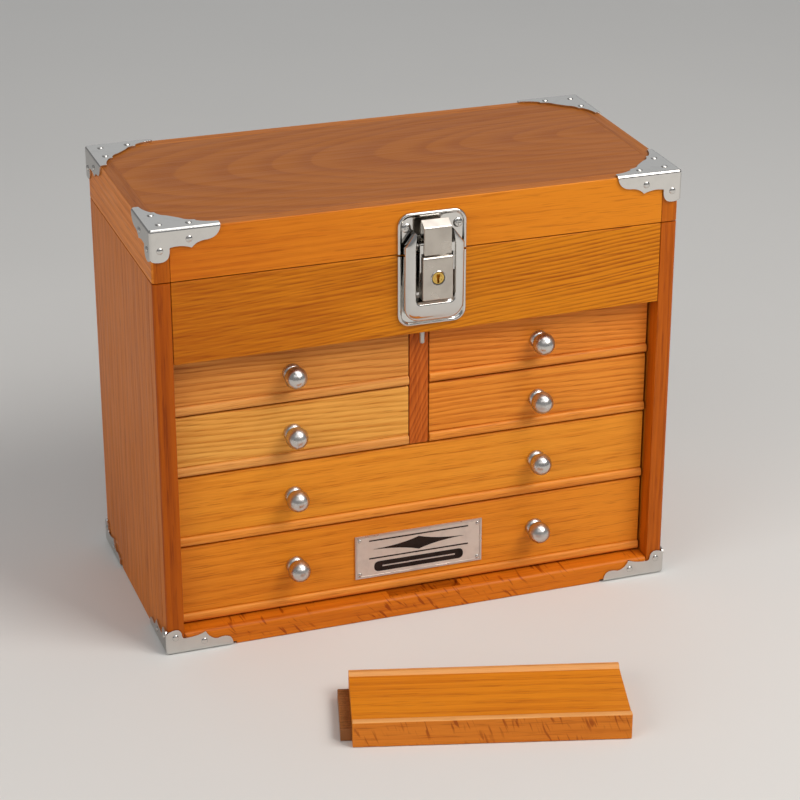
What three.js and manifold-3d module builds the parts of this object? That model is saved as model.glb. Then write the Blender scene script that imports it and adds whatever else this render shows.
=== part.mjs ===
// A small oak collector's chest: a hinged lid over an open till, six drawers behind a
// recessed front, nickel corner brackets, a keyed draw latch, and a loose locking bar that lies
// in front of the chest.
//
// Millimetres, +Z up. The origin is under the middle of the base, and the drawers face -Y.

import * as THREE from "three";
import { mergeVertices } from "three/addons/utils/BufferGeometryUtils.js";
import Module from "manifold-3d";

const wasm = await Module();
wasm.setup();

// ---------------------------------------------------------------- driving dimensions

const WIDTH = 340;
const DEPTH = 168;
const HEIGHT = 283;
const SEAM_Z = 250; // middle of the gap between the case and the lid
const SEAM_GAP = 0.8;

const BOARD = 11; // side boards, upper front panel and lid boards
const BACK_BOARD = 8;
const BASE_BOARD = 13;
const RAIL_DEPTH = 24; // front strip of the base, with the slot for the locking bar
const RECESS = 12; // the drawer faces lie this far behind the case's front
const PANEL_BOTTOM_Z = 196.7; // underside of the fixed panel above the drawers
const TILL_FLOOR = 5;
const FIT = 0.3; // glued and running joints are drawn with this gap

const MIDDLE_X = 1.5; // the divider, the nameplate and the lock pin are set off by this much
const DIVIDER_WIDTH = 12.5;
const LATCH_X = 5;

const FRONT_Y = -DEPTH / 2;
const BACK_Y = DEPTH / 2;
const SIDE_X = WIDTH / 2;
const INNER_X = SIDE_X - BOARD - FIT; // half the space between the side boards
const FACE_Y = FRONT_Y + RECESS;
const CASE_TOP = SEAM_Z - SEAM_GAP / 2;
const LID_BOTTOM = SEAM_Z + SEAM_GAP / 2;

// Drawers
const DRAWER = {
  front: 9, // thickness of the drawer front
  side: 5,
  bottom: 3,
  trayDepth: 128,
  lipHeight: 6.4, // rounded lip along the lower edge of each front
  lipReach: 1.8,
  endGap: 1.5, // between a front and the case side
  dividerGap: 0.7,
};
const ROWS = [
  { row: "bottom", low: 14, high: 66.8, knobZ: 43, trayLow: 13.8, trayHigh: 61.5, wide: true },
  { row: "lower", low: 67.8, high: 114.9, knobZ: 92.5, trayLow: 68.2, trayHigh: 108.5, wide: true },
  { row: "middle", low: 115.9, high: 156, knobZ: 136, trayLow: 116.4, trayHigh: 149.5 },
  { row: "top", low: 157, high: 195.8, knobZ: 176.7, trayLow: 156.6, trayHigh: 193 },
];
const RUNNERS = [
  // boards that carry a row of drawers, listed with the z of their upper face
  { name: "runner_board_lower", top: 67.7, thickness: 4.5, span: "full" },
  { name: "runner_board_middle", top: 115.5, thickness: 5, span: "full" },
  { name: "runner_board_left", top: 156.1, thickness: 4, span: "left" },
  { name: "runner_board_right", top: 156.1, thickness: 4, span: "right" },
];
const KNOB_X = 82; // from the middle of the case
const KNOB_BALL = 7.1; // radius
const KNOB_REACH = 9.5; // from the drawer face to the ball's centre

// Corner brackets
const METAL = 1.2; // sheet thickness
const METAL_GAP = 0.1; // between the sheet and the wood
const NAIL = {
  radius: 2.1,
  height: 0.9,
  onLidEdge: [[23, 6.6], [5.2, 12.4]], // distances along the edge and away from it
  onBaseEdge: [[23.6, 5.2], [5, 10.6]],
  onTop: [[6.5, 25], [7.2, 8], [25, 6.5]],
};
// Free edges of the upright plates, from the tip of the plate to the corner. Each entry is a
// curve: its control point and its end, as distances along the edge and away from it.
const PLATE_TIP = [42.5, 1];
const LID_PLATE_EDGE = [
  [41, 7.6, 35.5, 8.2],
  [28, 7.6, 24.8, 12.2],
  [18, 9.6, 11.4, 10.9],
  [11.4, 12.5, 11.4, 14],
  [11, 19.4, 5.2, 19.4],
  [1.5, 19.4, -METAL, 17.5],
];
const BASE_PLATE_EDGE = [
  [42, 6.2, 37.2, 6.3],
  [34, 6.3, 32.4, 5.6],
  [27.4, 5.8, 24.6, 11.8],
  [18.4, 9, 10.6, 9.3],
  [9.4, 9.8, 9.2, 11],
  [9, 16, 5, 16],
  [1, 16, -METAL, 12.8],
];
const FOOT_POCKET = { reach: 44.5, depth: METAL + FIT };

// Hinge along the back of the lid
const HINGE = {
  halfLength: 150,
  knuckles: 15,
  y: BACK_Y + 2.5,
  barrel: 2.2,
  bore: 1.25,
  pin: 1.1,
  leaf: 0.8,
  leafDepth: 7.6,
  leafGap: 0.6,
};

// Draw latch, given by distances in front of the case and by heights
const LATCH = {
  halfWidth: 22.4,
  plate: 1.5,
  cornerRadius: 8,
  plateLow: 202.5,
  plateHigh: 276.4,
  shroudHalf: 19.3,
  wellHalf: 11.75,
  shroudLow: 206.8,
  wellLow: 220.5,
  shroudTop: 265,
  shoulder: 9,
  shroudReach: 8.4,
  leverHalf: 9.8,
  leverReach: 12.5,
  leverLow: 222.3,
  pivotZ: 247,
  pivotReach: 8.5,
  hookHalf: 8.7,
  hookTop: 269,
  hookSheet: 1.5,
  noseReach: 5,
  keyZ: 236.8,
  keyRadius: 3.9,
};

// Lock pin that stands down behind the fixed panel, over the top end of the locking bar
const LOCK_PIN = { radius: 1.6, y: FRONT_Y + 6.5, low: 186.7, high: 249 };

// Locking bar
const BAR = {
  length: 166,
  width: 62,
  thickness: 17,
  lip: 4, // width of the raised edge along each long side
  hollow: 1.7, // depth of the face between the lips
  tongue: { length: 7, width: 47, thickness: 8 },
  turn: -15.8, // degrees about Z, as it lies
  corner: { x: -94.4, y: FRONT_Y - 142.2 }, // its front left corner, as it lies
};
const BAR_SLOT = { x: 3.5, width: 49, back: FACE_Y + 0.6, thickness: 8.8, depth: 7.5 };

const NAMEPLATE = { width: 87, height: 30.5, z: 40.4, thickness: METAL };

// ---------------------------------------------------------------- materials

const material = (color, roughness, metalness = 0) =>
  new THREE.MeshStandardMaterial({ color, roughness, metalness });
const oakCase = material(0xb9661e, 0.35);
const oakDrawer = material(0xcf7f33, 0.35);
const oakInside = material(0xc99a5e, 0.6);
const nickel = material(0xc9c6bf, 0.15, 1);
const pewter = material(0x9d9488, 0.45, 1);
const brass = material(0xc8a64b, 0.25, 1);

// ---------------------------------------------------------------- solids

function solid(geometry) {
  const bare = new THREE.BufferGeometry();
  bare.setAttribute("position", geometry.getAttribute("position"));
  bare.setIndex(geometry.index);
  const merged = mergeVertices(bare, 1e-4);
  const mesh = new wasm.Mesh({
    numProp: 3,
    vertProperties: merged.getAttribute("position").array,
    triVerts: new Uint32Array(merged.index.array),
  });
  return new wasm.Manifold(mesh);
}

function geometryOf(manifold) {
  const mesh = manifold.getMesh();
  const geometry = new THREE.BufferGeometry();
  geometry.setAttribute("position", new THREE.BufferAttribute(mesh.vertProperties, 3));
  geometry.setIndex(new THREE.BufferAttribute(mesh.triVerts, 1));
  return geometry;
}

const joined = (...parts) => geometryOf(parts.map(solid).reduce((all, next) => all.add(next)));
const cut = (whole, ...tools) =>
  geometryOf(tools.map(solid).reduce((rest, tool) => rest.subtract(tool), solid(whole)));

function block(x0, x1, y0, y1, z0, z1) {
  const box = new THREE.BoxGeometry(x1 - x0, y1 - y0, z1 - z0);
  return box.translate((x0 + x1) / 2, (y0 + y1) / 2, (z0 + z1) / 2);
}

function extruded(shape, depth) {
  return new THREE.ExtrudeGeometry(shape, { depth, bevelEnabled: false, curveSegments: 6 });
}

// A profile in (y, z) pushed along X.
function alongX(profile, x0, x1) {
  const axes = new THREE.Matrix4().set(0, 0, 1, x0, 1, 0, 0, 0, 0, 1, 0, 0, 0, 0, 0, 1);
  return extruded(profile, x1 - x0).applyMatrix4(axes);
}

// A profile in (x, z) pushed along Y.
function alongY(profile, y0, y1) {
  const axes = new THREE.Matrix4().set(1, 0, 0, 0, 0, 0, -1, y1, 0, 1, 0, 0, 0, 0, 0, 1);
  return extruded(profile, y1 - y0).applyMatrix4(axes);
}

const outline = (...points) => new THREE.Shape(points.map(([u, v]) => new THREE.Vector2(u, v)));

// A solid of revolution about the line through `at` that points to -Y; the profile is
// [radius, distance towards -Y] and runs outwards from the axis and back to it.
function turnedTowardsFront(profile, at, segments = 20) {
  const points = profile.map(([radius, reach]) => new THREE.Vector2(radius, reach));
  const turned = new THREE.LatheGeometry(points, segments);
  return turned.rotateX(Math.PI).translate(at.x, at.y, at.z);
}

// A ring or a rod along X.
function rodAlongX(radius, x0, x1, y, z, segments = 16) {
  const rod = new THREE.CylinderGeometry(radius, radius, x1 - x0, segments);
  return rod.rotateZ(Math.PI / 2).translate((x0 + x1) / 2, y, z);
}

// ---------------------------------------------------------------- the scene graph

const chest = new THREE.Group();

function add(name, geometry, finish) {
  const mesh = new THREE.Mesh(geometry, finish);
  mesh.name = name;
  chest.add(mesh);
  return mesh;
}

// ---------------------------------------------------------------- case

// The flat foot of each base bracket is let into the underside of the case.
function overFeet(geometry) {
  const { reach, depth } = FOOT_POCKET;
  const pockets = [];
  for (const sx of [-1, 1]) {
    for (const sy of [-1, 1]) {
      const xs = [sx * (SIDE_X - reach), sx * (SIDE_X + 1)].sort((a, b) => a - b);
      const ys = [sy * (BACK_Y - reach), sy * (BACK_Y + 1)].sort((a, b) => a - b);
      pockets.push(block(...xs, ...ys, -1, depth));
    }
  }
  return cut(geometry, ...pockets);
}

function buildCase() {
  const railBack = FRONT_Y + RAIL_DEPTH;
  const insideBack = BACK_Y - BACK_BOARD - FIT;

  for (const [name, side] of [["left_side", -1], ["right_side", 1]]) {
    const xs = [side * SIDE_X, side * (SIDE_X - BOARD)].sort((a, b) => a - b);
    add(name, overFeet(block(...xs, FRONT_Y, BACK_Y, 0, CASE_TOP)), oakCase);
  }

  const floor = block(-INNER_X, INNER_X, railBack + FIT, insideBack, 0, BASE_BOARD);
  add("base_board", overFeet(floor), oakInside);

  const rail = block(-INNER_X, INNER_X, FRONT_Y, railBack, 0, BASE_BOARD);
  const slot = block(
    BAR_SLOT.x - BAR_SLOT.width / 2,
    BAR_SLOT.x + BAR_SLOT.width / 2,
    BAR_SLOT.back - BAR_SLOT.thickness,
    BAR_SLOT.back,
    BASE_BOARD - BAR_SLOT.depth,
    BASE_BOARD + 1,
  );
  add("bottom_rail", cut(overFeet(rail), slot), oakCase);

  const leafSeat = HINGE.leaf + FIT;
  const backTop = SEAM_Z - HINGE.leafGap / 2 - leafSeat;
  const back = block(-INNER_X, INNER_X, BACK_Y - BACK_BOARD, BACK_Y, 0, backTop);
  add("back_panel", overFeet(back), oakCase);

  const panel = block(-INNER_X, INNER_X, FRONT_Y, FRONT_Y + BOARD, PANEL_BOTTOM_Z, CASE_TOP);
  const pinHole = new THREE.CylinderGeometry(2, 2, 80, 16);
  pinHole.rotateX(Math.PI / 2).translate(MIDDLE_X, LOCK_PIN.y, (PANEL_BOTTOM_Z + CASE_TOP) / 2);
  add("upper_front_panel", cut(panel, pinHole), oakCase);

  const tillFront = FRONT_Y + BOARD + FIT;
  const tillLow = PANEL_BOTTOM_Z + FIT;
  const till = block(-INNER_X, INNER_X, tillFront, insideBack, tillLow, tillLow + TILL_FLOOR);
  add("till_floor", till, oakInside);

  const dividerLeft = MIDDLE_X - DIVIDER_WIDTH / 2;
  const dividerRight = MIDDLE_X + DIVIDER_WIDTH / 2;
  const middleTop = RUNNERS.find((runner) => runner.name === "runner_board_middle").top;
  add(
    "centre_divider",
    block(dividerLeft, dividerRight, FACE_Y, insideBack, middleTop + FIT, PANEL_BOTTOM_Z),
    oakCase,
  );

  const spans = {
    full: [-INNER_X, INNER_X],
    left: [-INNER_X, dividerLeft - FIT],
    right: [dividerRight + FIT, INNER_X],
  };
  const runnerFront = FACE_Y + DRAWER.front + 0.6;
  for (const { name, top, thickness, span } of RUNNERS) {
    add(name, block(...spans[span], runnerFront, insideBack, top - thickness, top), oakInside);
  }
}

// ---------------------------------------------------------------- drawers

// Side view of a drawer front, with the rounded lip along its lower edge.
function drawerFrontProfile(low, high) {
  const { front, lipHeight, lipReach } = DRAWER;
  const profile = new THREE.Shape();
  profile.moveTo(FACE_Y + front, low);
  profile.lineTo(FACE_Y + front, high);
  profile.lineTo(FACE_Y, high);
  profile.lineTo(FACE_Y, low + lipHeight);
  profile.quadraticCurveTo(FACE_Y - lipReach, low + lipHeight, FACE_Y - lipReach, low + lipHeight - 2.4);
  profile.lineTo(FACE_Y - lipReach, low + 0.8);
  profile.lineTo(FACE_Y - lipReach + 0.8, low);
  profile.closePath();
  return profile;
}

function knobProfile() {
  const neck = 2.7;
  const profile = [[0, 0], [5.5, 0], [5.5, 0.6], [4.4, 2], [3, 2.8]];
  const firstAngle = Math.PI - Math.asin(neck / KNOB_BALL);
  const steps = 9;
  for (let i = 0; i <= steps; i++) {
    const angle = firstAngle * (1 - i / steps);
    const radius = i === steps ? 0 : KNOB_BALL * Math.sin(angle);
    profile.push([radius, KNOB_REACH + KNOB_BALL * Math.cos(angle)]);
  }
  return profile;
}

function buildDrawer(name, row, x0, x1, knobs) {
  const { front, side, bottom, trayDepth } = DRAWER;
  add(`${name}_front`, alongX(drawerFrontProfile(row.low, row.high), x0, x1), oakDrawer);

  const trayFront = FACE_Y + front + FIT;
  const trayBack = trayFront + trayDepth;
  const outside = block(x0 + 0.5, x1 - 0.5, trayFront, trayBack, row.trayLow, row.trayHigh);
  const inside = block(
    x0 + 0.5 + side,
    x1 - 0.5 - side,
    trayFront + side,
    trayBack - side,
    row.trayLow + bottom,
    row.trayHigh + 1,
  );
  add(`${name}_tray`, cut(outside, inside), oakInside);

  for (const [suffix, x] of knobs) {
    const at = new THREE.Vector3(x, FACE_Y - METAL_GAP, row.knobZ);
    add(`${name}_knob${suffix}`, turnedTowardsFront(knobProfile(), at), nickel);
  }
}

function buildDrawers() {
  const outer = SIDE_X - BOARD - DRAWER.endGap;
  const leftEnd = MIDDLE_X - DIVIDER_WIDTH / 2 - DRAWER.dividerGap;
  const rightStart = MIDDLE_X + DIVIDER_WIDTH / 2 + DRAWER.dividerGap;
  for (const row of ROWS) {
    if (row.wide) {
      const knobs = [["_left", -KNOB_X], ["_right", KNOB_X]];
      buildDrawer(`${row.row}_drawer`, row, -outer, outer, knobs);
    } else {
      buildDrawer(`${row.row}_left_drawer`, row, -outer, leftEnd, [["", -KNOB_X]]);
      buildDrawer(`${row.row}_right_drawer`, row, rightStart, outer, [["", KNOB_X]]);
    }
  }
}

function buildNameplate() {
  const { width, height, z, thickness } = NAMEPLATE;
  const left = MIDDLE_X - width / 2;
  const back = FACE_Y - METAL_GAP;
  const plate = block(left, left + width, back - thickness, back, z - height / 2, z + height / 2);
  add("nameplate", plate, pewter);
}

// ---------------------------------------------------------------- lid

const LID = {
  ledge: 2.5, // step inside each board that the top panel sits on
  panel: 6,
};

// Section of a lid board: u runs inwards from the outer face, v is the height.
function lidBoardSection(outer, inward, bottom) {
  const ledgeZ = HEIGHT - LID.panel - FIT;
  const at = (distance) => outer + inward * distance;
  const section = [
    [at(0), bottom],
    [at(BOARD), bottom],
    [at(BOARD), ledgeZ],
    [at(BOARD - LID.ledge), ledgeZ],
    [at(BOARD - LID.ledge), HEIGHT],
    [at(0), HEIGHT],
  ];
  return outline(...(inward > 0 ? section : section.reverse()));
}

function buildLid() {
  add("lid_left", alongY(lidBoardSection(-SIDE_X, 1, LID_BOTTOM), FRONT_Y, BACK_Y), oakCase);
  add("lid_right", alongY(lidBoardSection(SIDE_X, -1, LID_BOTTOM), FRONT_Y, BACK_Y), oakCase);
  add("lid_front", alongX(lidBoardSection(FRONT_Y, 1, LID_BOTTOM), -INNER_X, INNER_X), oakCase);
  const backBottom = SEAM_Z + HINGE.leafGap / 2 + HINGE.leaf + FIT;
  add("lid_back", alongX(lidBoardSection(BACK_Y, -1, backBottom), -INNER_X, INNER_X), oakCase);

  const inset = BOARD - LID.ledge + FIT;
  const halfX = SIDE_X - inset;
  const halfY = BACK_Y - inset;
  add("lid_top", block(-halfX, halfX, -halfY, halfY, HEIGHT - LID.panel, HEIGHT), oakCase);
}

// ---------------------------------------------------------------- corner brackets

// Upright plate: a rounded tip, a cusp, a shallow scallop, and a rounded lobe at the corner.
function edgePlateOutline(freeEdge) {
  const plate = new THREE.Shape();
  plate.moveTo(-METAL, -METAL);
  plate.lineTo(PLATE_TIP[0], -METAL);
  plate.lineTo(...PLATE_TIP);
  for (const curve of freeEdge) {
    plate.quadraticCurveTo(...curve);
  }
  plate.closePath();
  return plate;
}

// Flat plate on the top of the lid or under the base: stepped scallops across the corner.
function flatPlateOutline() {
  const half = [
    [42.5, -METAL, 42.5, 3.6],
    [35, 4.5, 30, 9],
    [24, 10, 21.8, 15.5],
  ];
  const plate = new THREE.Shape();
  plate.moveTo(-METAL, -METAL);
  plate.lineTo(half[0][0], half[0][1]);
  plate.lineTo(half[0][2], half[0][3]);
  for (const [cx, cy, x, y] of half.slice(1)) {
    plate.quadraticCurveTo(cx, cy, x, y);
  }
  const [, , tipX, tipY] = half[2];
  plate.quadraticCurveTo(21.5, 21.5, tipY, tipX);
  plate.quadraticCurveTo(10, 24, 9, 30);
  plate.quadraticCurveTo(4.5, 35, 3.6, 42.5);
  plate.lineTo(-METAL, 42.5);
  plate.closePath();
  return plate;
}

// Domed nail head, with its axis along Z and its flat side at z = 0.
function nailHead(x, y) {
  const { radius, height } = NAIL;
  const root = -METAL / 2;
  const profile = [[0, root], [radius, root], [radius, 0.1], [radius / 2, height], [0, height]];
  const head = new THREE.LatheGeometry(profile.map(([r, z]) => new THREE.Vector2(r, z)), 10);
  return head.rotateX(Math.PI / 2).translate(x, y, METAL);
}

// A bracket in its own frame: the wood fills x > 0, y > 0, z < 0 from the corner at 0, 0, 0.
// Every plate is drawn in the XY plane, with its outer face at z = METAL, and then turned.
function bracketGeometry(freeEdge, edgeNails, flatNails) {
  const sheet = (shape) =>
    new THREE.ExtrudeGeometry(shape, { depth: METAL, bevelEnabled: false, curveSegments: 5 });
  const edge = joined(sheet(edgePlateOutline(freeEdge)), ...edgeNails.map(([s, t]) => nailHead(s, t)));
  const upright = new THREE.Matrix4().set(1, 0, 0, 0, 0, 0, -1, 0, 0, -1, 0, 0, 0, 0, 0, 1);
  const mirrorAcrossDiagonal = new THREE.Matrix4().set(0, 1, 0, 0, 1, 0, 0, 0, 0, 0, 1, 0, 0, 0, 0, 1);
  const front = edge.applyMatrix4(upright);
  const side = front.clone().applyMatrix4(mirrorAcrossDiagonal);
  const flat = sheet(flatPlateOutline());
  return joined(flipped(front), side, flat, ...flatNails.map(([x, y]) => nailHead(x, y)));
}

// Turns every face round, for a geometry that a mirroring matrix has turned inside out.
function flipped(geometry) {
  const plain = geometry.index ? geometry.toNonIndexed() : geometry;
  const positions = plain.getAttribute("position");
  for (let i = 0; i < positions.count; i += 3) {
    const b = new THREE.Vector3().fromBufferAttribute(positions, i + 1);
    const c = new THREE.Vector3().fromBufferAttribute(positions, i + 2);
    positions.setXYZ(i + 1, c.x, c.y, c.z);
    positions.setXYZ(i + 2, b.x, b.y, b.z);
  }
  return plain;
}

function buildBrackets() {
  const levels = [
    { level: "lid", z: HEIGHT + METAL_GAP, up: 1, plates: [LID_PLATE_EDGE, NAIL.onLidEdge, NAIL.onTop] },
    { level: "base", z: METAL, up: -1, plates: [BASE_PLATE_EDGE, NAIL.onBaseEdge, []] },
  ];
  for (const { level, z, up, plates } of levels) {
    const bracket = bracketGeometry(...plates);
    for (const [end, sy] of [["front", -1], ["rear", 1]]) {
      for (const [side, sx] of [["left", -1], ["right", 1]]) {
        const copy = bracket.clone().scale(-sx, -sy, up);
        const mirrored = -sx * -sy * up < 0;
        const placed = (mirrored ? flipped(copy) : copy).translate(
          sx * (SIDE_X + METAL_GAP),
          sy * (BACK_Y + METAL_GAP),
          z,
        );
        add(`${level}_bracket_${end}_${side}`, placed, nickel);
      }
    }
  }
}

// ---------------------------------------------------------------- hinge

// One leaf of the continuous hinge: a strip between case and lid with every second knuckle.
function hingeLeaf(firstKnuckle, leafLow) {
  const { halfLength, knuckles, y, barrel, bore, leaf, leafDepth } = HINGE;
  const parts = [block(-halfLength, halfLength, BACK_Y - leafDepth, BACK_Y, leafLow, leafLow + leaf)];
  const pitch = (2 * halfLength) / knuckles;
  for (let i = firstKnuckle; i < knuckles; i += 2) {
    const x0 = -halfLength + i * pitch + FIT / 2;
    const x1 = x0 + pitch - FIT;
    parts.push(rodAlongX(barrel, x0, x1, y, SEAM_Z));
    parts.push(block(x0, x1, BACK_Y - 1, y - bore - 0.2, leafLow, leafLow + leaf));
  }
  return cut(joined(...parts), rodAlongX(bore, -halfLength - 1, halfLength + 1, y, SEAM_Z));
}

function buildHinge() {
  const { halfLength, y, pin, leaf, leafGap } = HINGE;
  add("hinge_leaf_case", hingeLeaf(0, SEAM_Z - leafGap / 2 - leaf), nickel);
  add("hinge_leaf_lid", hingeLeaf(1, SEAM_Z + leafGap / 2), nickel);
  add("hinge_pin", rodAlongX(pin, -halfLength, halfLength, y, SEAM_Z), nickel);
}

// ---------------------------------------------------------------- latch and lock

const inFront = (distance) => FRONT_Y - METAL_GAP - distance;

// Upper or lower half of the latch plate, with its two outer corners rounded.
function latchPlate(plain, rounded) {
  const { halfWidth, cornerRadius: r } = LATCH;
  const left = LATCH_X - halfWidth;
  const right = LATCH_X + halfWidth;
  const step = Math.sign(plain - rounded) * r;
  const plate = new THREE.Shape();
  plate.moveTo(left, plain);
  plate.lineTo(left, rounded + step);
  plate.quadraticCurveTo(left, rounded, left + r, rounded);
  plate.lineTo(right - r, rounded);
  plate.quadraticCurveTo(right, rounded, right, rounded + step);
  plate.lineTo(right, plain);
  plate.closePath();
  return alongY(plate, inFront(LATCH.plate), inFront(0));
}

function buildLatchPlates() {
  const { plate, plateLow, plateHigh, noseReach } = LATCH;
  const nose = outline(
    [inFront(plate - 0.5), 258.5],
    [inFront(noseReach), 263],
    [inFront(noseReach), 268],
    [inFront(plate - 0.5), 269],
  );
  const noseHalf = LATCH.hookHalf;
  const catchPlate = joined(
    latchPlate(SEAM_Z + 0.7, plateHigh),
    alongX(nose, LATCH_X - noseHalf, LATCH_X + noseHalf),
  );
  add("latch_catch_plate", catchPlate, nickel);
  add("latch_base_plate", latchPlate(SEAM_Z - 0.7, plateLow), nickel);
}

// Raised frame round three sides of the lever, open at the top, with sloping shoulders.
function buildShroud() {
  const { shroudHalf, wellHalf, shroudLow, wellLow, shroudTop, shoulder, shroudReach, plate } = LATCH;
  const r = 10;
  const left = LATCH_X - shroudHalf;
  const right = LATCH_X + shroudHalf;
  const shape = new THREE.Shape();
  shape.moveTo(left, shroudLow + r);
  shape.quadraticCurveTo(left, shroudLow, left + r, shroudLow);
  shape.lineTo(right - r, shroudLow);
  shape.quadraticCurveTo(right, shroudLow, right, shroudLow + r);
  shape.lineTo(right, shroudTop - shoulder);
  shape.lineTo(LATCH_X + wellHalf + 1, shroudTop);
  shape.lineTo(LATCH_X + wellHalf, shroudTop);
  shape.lineTo(LATCH_X + wellHalf, wellLow);
  shape.lineTo(LATCH_X - wellHalf, wellLow);
  shape.lineTo(LATCH_X - wellHalf, shroudTop);
  shape.lineTo(LATCH_X - wellHalf - 1, shroudTop);
  shape.lineTo(left, shroudTop - shoulder);
  shape.closePath();
  const body = alongY(shape, inFront(shroudReach), inFront(plate + 0.1));
  // Above the seam the frame stands clear of the catch plate, which lifts away with the lid.
  const room = 1.5;
  const clearance = block(
    left - 1,
    right + 1,
    inFront(plate + room),
    inFront(plate),
    SEAM_Z - 1,
    shroudTop + 1,
  );
  add("latch_shroud", cut(body, clearance), nickel);
}

function buildLever() {
  const { leverHalf, leverReach, leverLow, pivotZ, pivotReach, keyZ, keyRadius } = LATCH;
  const half = leverReach - pivotReach;
  const pivotY = inFront(pivotReach);
  const profile = new THREE.Shape();
  profile.moveTo(pivotY - half, leverLow);
  profile.lineTo(pivotY + half, leverLow);
  profile.lineTo(pivotY + half, pivotZ);
  profile.absarc(pivotY, pivotZ, half, 0, Math.PI, false);
  profile.closePath();
  const lever = alongX(profile, LATCH_X - leverHalf, LATCH_X + leverHalf);
  const bore = new THREE.CylinderGeometry(keyRadius + FIT, keyRadius + FIT, 14, 24);
  bore.translate(LATCH_X, inFront(leverReach), keyZ);
  add("latch_lever", cut(lever, bore), nickel);

  const plug = new THREE.CylinderGeometry(keyRadius, keyRadius, 6, 24);
  plug.translate(LATCH_X, inFront(leverReach - 3.4), keyZ);
  const keyway = block(
    LATCH_X - 0.6,
    LATCH_X + 0.6,
    inFront(leverReach),
    inFront(leverReach - 3),
    keyZ - 2.6,
    keyZ + 1.4,
  );
  add("lock_cylinder", cut(plug, keyway), brass);
}

// Strap that reaches up from the lever over the catch on the lid.
function buildHook() {
  const { hookHalf, hookTop, hookSheet, leverReach, leverHalf, wellHalf, pivotZ, pivotReach } = LATCH;
  const outerY = inFront(leverReach - 0.5);
  const innerY = outerY + hookSheet;
  const strapLow = pivotZ + (leverReach - pivotReach) + 0.8;
  const clawY = inFront(LATCH.noseReach + 0.4);
  const claw = outline(
    [outerY, strapLow],
    [innerY, strapLow],
    [innerY, hookTop - 0.6],
    [clawY, hookTop + 2.4],
    [clawY, hookTop + 3.9],
    [outerY, hookTop + 0.6],
  );
  const strap = alongX(claw, LATCH_X - hookHalf, LATCH_X + hookHalf);
  const armOut = wellHalf - 0.45;
  const armIn = leverHalf + 0.4;
  const bridge = block(
    LATCH_X - armOut,
    LATCH_X + armOut,
    innerY - 0.2,
    innerY + 1.3,
    strapLow + 1,
    strapLow + 7,
  );
  const arms = [-1, 1].map((side) => {
    const xs = [LATCH_X + side * armIn, LATCH_X + side * armOut].sort((a, b) => a - b);
    return block(...xs, innerY - 0.2, innerY + 3.4, pivotZ - 6.5, strapLow + 7);
  });
  add("latch_hook", joined(strap, bridge, ...arms), nickel);
}

function buildLockPin() {
  const { radius, y, low, high } = LOCK_PIN;
  const pin = new THREE.CylinderGeometry(radius, radius, high - low, 16);
  pin.rotateX(Math.PI / 2).translate(MIDDLE_X, y, (low + high) / 2);
  add("lock_pin", pin, nickel);
}

// ---------------------------------------------------------------- locking bar

// It lies face up on the table in its own frame: length along X, from the front left corner.
function buildLockBar() {
  const { length, width, thickness, lip, hollow, tongue, turn, corner } = BAR;
  const section = new THREE.Shape();
  section.moveTo(0, 0);
  section.lineTo(width, 0);
  section.lineTo(width, thickness - 1);
  section.quadraticCurveTo(width, thickness, width - 1, thickness);
  section.lineTo(width - lip + 1, thickness);
  section.quadraticCurveTo(width - lip - 0.5, thickness, width - lip - 2, thickness - hollow);
  section.lineTo(lip + 2, thickness - hollow);
  section.quadraticCurveTo(lip + 0.5, thickness, lip - 1, thickness);
  section.lineTo(1, thickness);
  section.quadraticCurveTo(0, thickness, 0, thickness - 1);
  section.closePath();
  const tongueLow = (width - tongue.width) / 2;
  const bar = joined(
    alongX(section, 0, length),
    block(-tongue.length, 1, tongueLow, tongueLow + tongue.width, 0, tongue.thickness),
  );
  const mesh = add("lock_bar", bar, oakCase);
  mesh.position.set(corner.x, corner.y, 0);
  mesh.rotation.z = THREE.MathUtils.degToRad(turn);
}

buildCase();
buildDrawers();
buildNameplate();
buildLid();
buildBrackets();
buildHinge();
buildLatchPlates();
buildShroud();
buildLever();
buildHook();
buildLockPin();
buildLockBar();

export default chest;
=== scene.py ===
"""A small oak drawer chest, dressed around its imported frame: lacquered oak boards, nickel
corner brackets and draw latch, felt-lined drawers, and the loose bar that lies in front.

Shapes are worked out in millimetres, in the frame's own axes, and made in metres.
"""

import math

import bmesh
import bpy
from mathutils import Matrix, Vector


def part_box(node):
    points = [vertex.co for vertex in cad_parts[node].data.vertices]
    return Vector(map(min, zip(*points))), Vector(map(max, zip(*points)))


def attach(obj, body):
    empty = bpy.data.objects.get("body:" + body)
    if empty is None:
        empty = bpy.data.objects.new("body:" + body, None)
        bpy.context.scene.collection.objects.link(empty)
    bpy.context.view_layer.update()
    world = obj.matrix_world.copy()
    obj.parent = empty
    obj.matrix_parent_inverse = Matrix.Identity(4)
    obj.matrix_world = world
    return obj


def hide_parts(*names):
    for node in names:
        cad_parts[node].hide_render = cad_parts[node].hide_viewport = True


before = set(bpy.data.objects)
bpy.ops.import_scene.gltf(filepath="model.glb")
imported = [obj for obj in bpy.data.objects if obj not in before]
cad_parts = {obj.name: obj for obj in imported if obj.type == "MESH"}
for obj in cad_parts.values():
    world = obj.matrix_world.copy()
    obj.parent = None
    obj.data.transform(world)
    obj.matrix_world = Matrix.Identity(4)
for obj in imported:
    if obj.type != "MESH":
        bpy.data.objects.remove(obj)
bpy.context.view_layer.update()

MM = 0.001


# ---- camera

CAMERA_TARGET = Vector((-0.0153, -0.084, 0.1532))
CAMERA_AZIMUTH = math.radians(-19.19)
CAMERA_ELEVATION = math.radians(24.01)
CAMERA_DISTANCE = 1.542
CAMERA_LENS = 111.15
CAMERA_SENSOR = 36


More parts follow.
